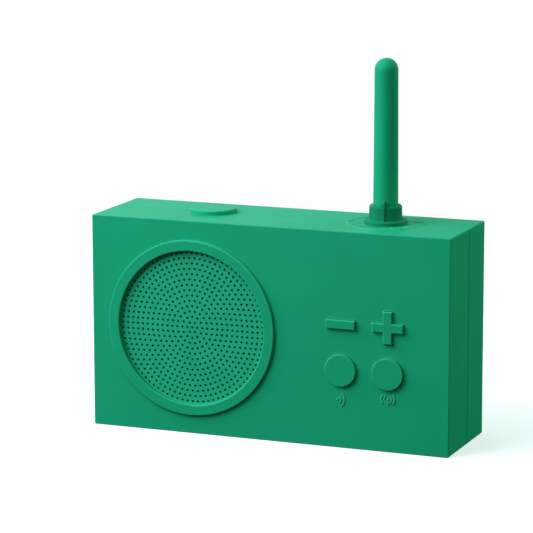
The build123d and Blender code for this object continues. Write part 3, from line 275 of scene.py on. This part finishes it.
def passivated_plate():
    """Turned steel plate, yellow passivated: gold that drifts to pale green, over turning marks."""
    material, tree, shader, place = start_material(
        "yellow_passivated_turned_steel", roughness=0.35, metallic=1.0)
    drift = add_node(tree, "ShaderNodeTexNoise", {"Scale": 1 / (7 * MM), "Detail": 3.0}, {"Vector": place})
    golds = {"stops": ((0.3, "#c2a04a"), (0.7, "#a9b27a"))}
    gold = add_node(tree, "ShaderNodeValToRGB", golds, {"Fac": drift})
    # turning marks are 0.1 mm apart, drawn at 0.4 mm
    marks = {"bands_direction": "Y", "Scale": WAVE / (0.4 * MM), "Distortion": 0.5, "Detail": 1.0}
    turning = add_node(tree, "ShaderNodeTexWave", marks, {"Vector": place}, "Fac")
    bump = add_node(tree, "ShaderNodeBump", {"Distance": 0.006 * MM}, {"Height": turning})
    shine = add_node(tree, "ShaderNodeMapRange", {"To Min": 0.28, "To Max": 0.42}, {"Value": drift})
    connect(tree, shader, {"Base Color": gold, "Normal": bump, "Roughness": shine})
    return material


def ground_ferrite():
    """Sintered ferrite with ground faces: charcoal, speckled with pores."""
    material, tree, shader, place = start_material("sintered_ground_ferrite", roughness=0.55, ior=1.8)
    # sintered grains are far finer, drawn at 0.5 mm so that the speckle shows
    grains = add_node(tree, "ShaderNodeTexVoronoi", {"Scale": 1 / (0.5 * MM)}, {"Vector": place}, "Color")
    speckle = {"stops": ((0.1, "#1f2022"), (0.9, "#34363a"))}
    charcoal = add_node(tree, "ShaderNodeValToRGB", speckle, {"Fac": grains})
    pores = add_node(tree, "ShaderNodeTexNoise", {"Scale": 1 / (0.5 * MM), "Detail": 4.0}, {"Vector": place})
    bump = add_node(tree, "ShaderNodeBump", {"Distance": 0.02 * MM}, {"Height": pores})
    connect(tree, shader, {"Base Color": charcoal, "Normal": bump})
    return material


def turned_brass():
    """Turned brass: warm yellow with fine rings left by the tool."""
    material, tree, shader, place = start_material("turned_brass", roughness=0.28, metallic=1.0)
    patches = {"Scale": 1 / (2.5 * MM), "Detail": 3.0}
    tarnish = add_node(tree, "ShaderNodeTexNoise", patches, {"Vector": place})
    yellows = {"stops": ((0.3, "#b8924c"), (0.7, "#d1ac63"))}
    brass = add_node(tree, "ShaderNodeValToRGB", yellows, {"Fac": tarnish})
    # tool rings are 0.08 mm apart, drawn at 0.3 mm
    marks = {"bands_direction": "Z", "Scale": WAVE / (0.3 * MM), "Detail": 1.0}
    rings = add_node(tree, "ShaderNodeTexWave", marks, {"Vector": place}, "Fac")
    bump = add_node(tree, "ShaderNodeBump", {"Distance": 0.006 * MM}, {"Height": rings})
    shine = add_node(tree, "ShaderNodeMapRange", {"To Min": 0.22, "To Max": 0.36}, {"Value": tarnish})
    connect(tree, shader, {"Base Color": brass, "Normal": bump, "Roughness": shine})
    return material


def tinned_can():
    """Tinned sheet steel, drawn into a can: soft silver with faint upright streaks."""
    material, tree, shader, place = start_material("tinned_drawn_steel", roughness=0.3, metallic=1.0)
    clouds = add_node(tree, "ShaderNodeTexNoise", {"Scale": 1 / (2 * MM)}, {"Vector": place})
    silvers = {"stops": ((0.3, "#a9abab"), (0.7, "#c4c6c5"))}
    tin = add_node(tree, "ShaderNodeValToRGB", silvers, {"Fac": clouds})
    # drawing streaks are 0.5 mm apart
    marks = {"bands_direction": "X", "Scale": WAVE / (0.5 * MM), "Distortion": 3.0, "Detail": 1.0}
    streaks = add_node(tree, "ShaderNodeTexWave", marks, {"Vector": place}, "Fac")
    bump = add_node(tree, "ShaderNodeBump", {"Distance": 0.003 * MM}, {"Height": streaks})
    shine = add_node(tree, "ShaderNodeMapRange", {"To Min": 0.25, "To Max": 0.40}, {"Value": streaks})
    connect(tree, shader, {"Base Color": tin, "Normal": bump, "Roughness": shine})
    return material


# ---------------------------------------------------------------- the loudspeaker's soft pieces
def pressed_paper():
    """Pressed paper pulp dyed black: matte, with short pale fibres."""
    material, tree, shader, place = start_material(
        "pressed_black_paper", roughness=0.8, ior=1.5, specular=0.3)
    # fibres lie about 0.9 mm apart
    pulp = {"Scale": 1 / (0.9 * MM), "Detail": 8.0}
    fibres = add_node(tree, "ShaderNodeTexNoise", pulp, {"Vector": place})
    blacks = {"stops": ((0.42, "#141414"), (0.64, "#2b2a29"))}
    paper = add_node(tree, "ShaderNodeValToRGB", blacks, {"Fac": fibres})
    bump = add_node(tree, "ShaderNodeBump", {"Distance": 0.05 * MM}, {"Height": fibres})
    connect(tree, shader, {"Base Color": paper, "Normal": bump})
    return material


def moulded_butyl():
    """Moulded butyl rubber roll: deep black with a soft satin sheen."""
    material, tree, shader, place = start_material(
        "moulded_butyl_rubber", roughness=0.48, ior=1.51, specular=0.4)
    bloom = add_node(tree, "ShaderNodeTexNoise", {"Scale": 1 / (3 * MM), "Detail": 3.0}, {"Vector": place})
    blacks = {"stops": ((0.3, "#0d0e0e"), (0.7, "#191a1b"))}
    black = add_node(tree, "ShaderNodeValToRGB", blacks, {"Fac": bloom})
    skin = add_node(tree, "ShaderNodeTexNoise", {"Scale": 1 / (0.5 * MM)}, {"Vector": place})
    bump = add_node(tree, "ShaderNodeBump", {"Distance": 0.01 * MM}, {"Height": skin})
    satin = add_node(tree, "ShaderNodeMapRange", {"To Min": 0.42, "To Max": 0.58}, {"Value": bloom})
    connect(tree, shader, {"Base Color": black, "Normal": bump, "Roughness": satin})
    return material


def resin_dipped_cotton():
    """Cotton weave dipped in amber resin: a coarse golden cloth that shines on its threads."""
    material, tree, shader, place = start_material("resin_dipped_woven_cotton", roughness=0.5, ior=1.55)
    # cotton threads are about 0.4 mm apart
    across = {"bands_direction": "X", "Scale": WAVE / (0.4 * MM), "Detail": 1.0}
    along = {"bands_direction": "Z", "Scale": WAVE / (0.4 * MM), "Detail": 1.0}
    warp = add_node(tree, "ShaderNodeTexWave", across, {"Vector": place}, "Fac")
    weft = add_node(tree, "ShaderNodeTexWave", along, {"Vector": place}, "Fac")
    weave = add_node(tree, "ShaderNodeMath", {"operation": "ADD"}, {0: warp, 1: weft})
    ambers = {"stops": ((0.2, "#8a5d1e"), (0.9, "#d0a050"))}
    amber = add_node(tree, "ShaderNodeValToRGB", ambers, {"Fac": weave})
    bump = add_node(tree, "ShaderNodeBump", {"Distance": 0.05 * MM}, {"Height": weave})
    connect(tree, shader, {"Base Color": amber, "Normal": bump})
    return material


def wound_copper():
    """Enamelled copper wire, wound side by side: red-brown turns with dark gaps."""
    material, tree, shader, place = start_material("wound_enamelled_copper", roughness=0.3, metallic=1.0)
    # wire is 0.12 mm thick, drawn at 0.3 mm so that the turns show
    marks = {"bands_direction": "Y", "Scale": WAVE / (0.3 * MM), "Detail": 1.0}
    turns = add_node(tree, "ShaderNodeTexWave", marks, {"Vector": place}, "Fac")
    reds = {"stops": ((0.1, "#6a2f17"), (0.6, "#c8703f"))}
    copper = add_node(tree, "ShaderNodeValToRGB", reds, {"Fac": turns})
    bump = add_node(tree, "ShaderNodeBump", {"Distance": 0.1 * MM}, {"Height": turns})
    connect(tree, shader, {"Base Color": copper, "Normal": bump})
    return material


# ---------------------------------------------------------------- electronics
def solder_masked_board():
    """Glass-fibre board under green solder mask: glossy, with the weave just showing."""
    material, tree, shader, place = start_material("solder_masked_fibreglass", roughness=0.3, ior=1.55)
    # glass bundles are 0.5 mm apart
    across = {"bands_direction": "X", "Scale": WAVE / (0.5 * MM), "Detail": 1.0}
    along = {"bands_direction": "Z", "Scale": WAVE / (0.5 * MM), "Detail": 1.0}
    warp = add_node(tree, "ShaderNodeTexWave", across, {"Vector": place}, "Fac")
    weft = add_node(tree, "ShaderNodeTexWave", along, {"Vector": place}, "Fac")
    weave = add_node(tree, "ShaderNodeMath", {"operation": "ADD"}, {0: warp, 1: weft})
    greens = {"stops": ((0.2, "#0d4a2a"), (0.9, "#14603a"))}
    mask = add_node(tree, "ShaderNodeValToRGB", greens, {"Fac": weave})
    bump = add_node(tree, "ShaderNodeBump", {"Distance": 0.006 * MM}, {"Height": weave})
    flow = add_node(tree, "ShaderNodeTexNoise", {"Scale": 1 / (2 * MM)}, {"Vector": place})
    gloss = add_node(tree, "ShaderNodeMapRange", {"To Min": 0.22, "To Max": 0.38}, {"Value": flow})
    connect(tree, shader, {"Base Color": mask, "Normal": bump, "Roughness": gloss})
    return material


def moulded_epoxy():
    """Moulded black epoxy: flat charcoal with a sandy face."""
    material, tree, shader, place = start_material("moulded_black_epoxy", roughness=0.6, ior=1.55)
    # filler grains are under 0.1 mm, drawn at 0.25 mm
    sand = add_node(tree, "ShaderNodeTexVoronoi", {"Scale": 1 / (0.25 * MM)}, {"Vector": place}, "Color")
    blacks = {"stops": ((0.1, "#18191a"), (0.9, "#242526"))}
    charcoal = add_node(tree, "ShaderNodeValToRGB", blacks, {"Fac": sand})
    face = add_node(tree, "ShaderNodeTexNoise", {"Scale": 1 / (0.25 * MM), "Detail": 3.0}, {"Vector": place})
    bump = add_node(tree, "ShaderNodeBump", {"Distance": 0.01 * MM}, {"Height": face})
    connect(tree, shader, {"Base Color": charcoal, "Normal": bump})
    return material


def laminated_foil():
    """Battery pouch of laminated foil: dull silver with long soft wrinkles."""
    material, tree, shader, place = start_material("laminated_foil_pouch", roughness=0.38, metallic=0.85)
    folds = {"Scale": 1 / (5 * MM), "Detail": 3.0}
    wrinkles = add_node(tree, "ShaderNodeTexNoise", folds, {"Vector": place})
    silvers = {"stops": ((0.3, "#a3a7aa"), (0.7, "#c0c4c6"))}
    foil = add_node(tree, "ShaderNodeValToRGB", silvers, {"Fac": wrinkles})
    bump = add_node(tree, "ShaderNodeBump", {"Distance": 0.25 * MM}, {"Height": wrinkles})
    shine = add_node(tree, "ShaderNodeMapRange", {"To Min": 0.30, "To Max": 0.46}, {"Value": wrinkles})
    connect(tree, shader, {"Base Color": foil, "Normal": bump, "Roughness": shine})
    return material


def extruded_pvc():
    """Extruded PVC wire cover: red, smooth and slightly waxy."""
    material, tree, shader, place = start_material("extruded_pvc", roughness=0.4, ior=1.53)
    wax = add_node(tree, "ShaderNodeTexNoise", {"Scale": 1 / (1.5 * MM)}, {"Vector": place})
    reds = {"stops": ((0.3, "#9c1d1b"), (0.7, "#b52a26"))}
    red = add_node(tree, "ShaderNodeValToRGB", reds, {"Fac": wax})
    bump = add_node(tree, "ShaderNodeBump", {"Distance": 0.01 * MM}, {"Height": wax})
    satin = add_node(tree, "ShaderNodeMapRange", {"To Min": 0.34, "To Max": 0.48}, {"Value": wax})
    connect(tree, shader, {"Base Color": red, "Normal": bump, "Roughness": satin})
    return material


# ---------------------------------------------------------------- a finish for each CAD piece
cover_greens = ("#0f9565", "#109968")
finishes = {
    # the third colour given to each silicone finish is the painted highlight on its edges
    "silicone_cover": moulded_silicone("moulded_silicone_cover", *cover_greens, "#3ab98f", 0.014 * MM),
    "silicone_keys": moulded_silicone("moulded_silicone_keys", *cover_greens, "#4cc7a0", 0.010 * MM),
    "grille": painted_grille(),
    "mesh": woven_polyester(),
    "housing": moulded_abs(),
    "seal": moulded_nitrile(),
    "nylon_white": moulded_nylon(),
    "steel": zinc_plated_steel(),
    "basket_steel": powder_coated_steel(),
    "plate_steel": passivated_plate(),
    "ferrite": ground_ferrite(),
    "brass_part": turned_brass(),
    "can_metal": tinned_can(),
    "paper_cone": pressed_paper(),
    "roll_rubber": moulded_butyl(),
    "spider_cloth": resin_dipped_cotton(),
    "copper": wound_copper(),
    "board": solder_masked_board(),
    "chip_black": moulded_epoxy(),
    "cell_wrap": laminated_foil(),
    "lead_red": extruded_pvc(),
}
own_finishes = {
    # the knob is drawn a deeper green than the covers, with a painted highlight on its edges
    "tuner_knob": moulded_silicone("moulded_silicone_knob", "#03754d", "#057951", "#1f9f71", 0.010 * MM),
    # the back gets no painted highlight, so its edges keep the plain colour
    "rear_cover": moulded_silicone("moulded_silicone_back", *cover_greens, "#119967", 0.014 * MM),
    "speaker_ring": finishes["silicone_keys"],
}
for part in frame["record"]["subparts"]:
    piece = frame["nodes"][part["node"]]
    piece.data.materials.clear()
    piece.data.materials.append(own_finishes.get(part["node"], finishes[part["material_slot"]]))


# ---------------------------------------------------------------- floor and sky
def studio_paper():
    """Matte studio paper: pale and even, with a glow of its own that keeps the box's shadow faint."""
    material, tree, shader, place = start_material(
        "matte_studio_paper", roughness=0.9, ior=1.45, specular=0.0)
    tooth = add_node(tree, "ShaderNodeTexNoise", {"Scale": 1 / (2 * MM)}, {"Vector": place})
    greys = {"stops": ((0.3, "#bababa"), (0.7, "#bebebe"))}
    paper = add_node(tree, "ShaderNodeValToRGB", greys, {"Fac": tooth})
    connect(tree, shader, {"Base Color": paper})
    shader.inputs["Emission Color"].default_value = (1.0, 1.0, 1.0, 1.0)
    shader.inputs["Emission Strength"].default_value = 0.55
    return material


def lay_floor(half_width):
    """A plain flat sheet under the box."""
    mesh = bpy.data.meshes.new("floor")
    sheet = bmesh.new()
    bmesh.ops.create_grid(sheet, x_segments=1, y_segments=1, size=half_width)
    sheet.to_mesh(mesh)
    sheet.free()
    mesh.materials.append(studio_paper())
    floor = bpy.data.objects.new("floor", mesh)
    floor.location.z = cad_box[0][2]
    # its glow stays off the box
    floor.visible_diffuse = False
    floor.visible_glossy = False
    scene.collection.objects.link(floor)


def light_sky(seen_strength, sky_strength, below_strength):
    """White to the eye, but it lights the box dimly: evenly from above, hardly at all from below."""
    world = bpy.data.worlds.new("studio")
    scene.world = world
    world.use_nodes = True
    tree = world.node_tree
    seen = add_node(tree, "ShaderNodeLightPath", output="Is Camera Ray")
    view = add_node(tree, "ShaderNodeTexCoord", output="Generated")
    height = add_node(tree, "ShaderNodeSeparateXYZ", links={"Vector": view}, output="Z")
    # the dark below turns to light across a soft horizon
    rise = {"From Min": -0.1, "From Max": 0.15, "To Min": below_strength, "To Max": sky_strength}
    glow = add_node(tree, "ShaderNodeMapRange", rise, {"Value": height})
    levels = {"data_type": "FLOAT", 3: seen_strength}
    strength = add_node(tree, "ShaderNodeMix", levels, {"Factor": seen, 2: glow})
    tints = {"data_type": "RGBA", 6: linear("#e1fff1"), 7: linear("#ffffff")}
    tint = add_node(tree, "ShaderNodeMix", tints, {"Factor": seen}, 2)
    connect(tree, tree.nodes["Background"], {"Color": tint, "Strength": strength})


lay_floor(half_width=0.45)
light_sky(seen_strength=1.0, sky_strength=0.52, below_strength=0.03)
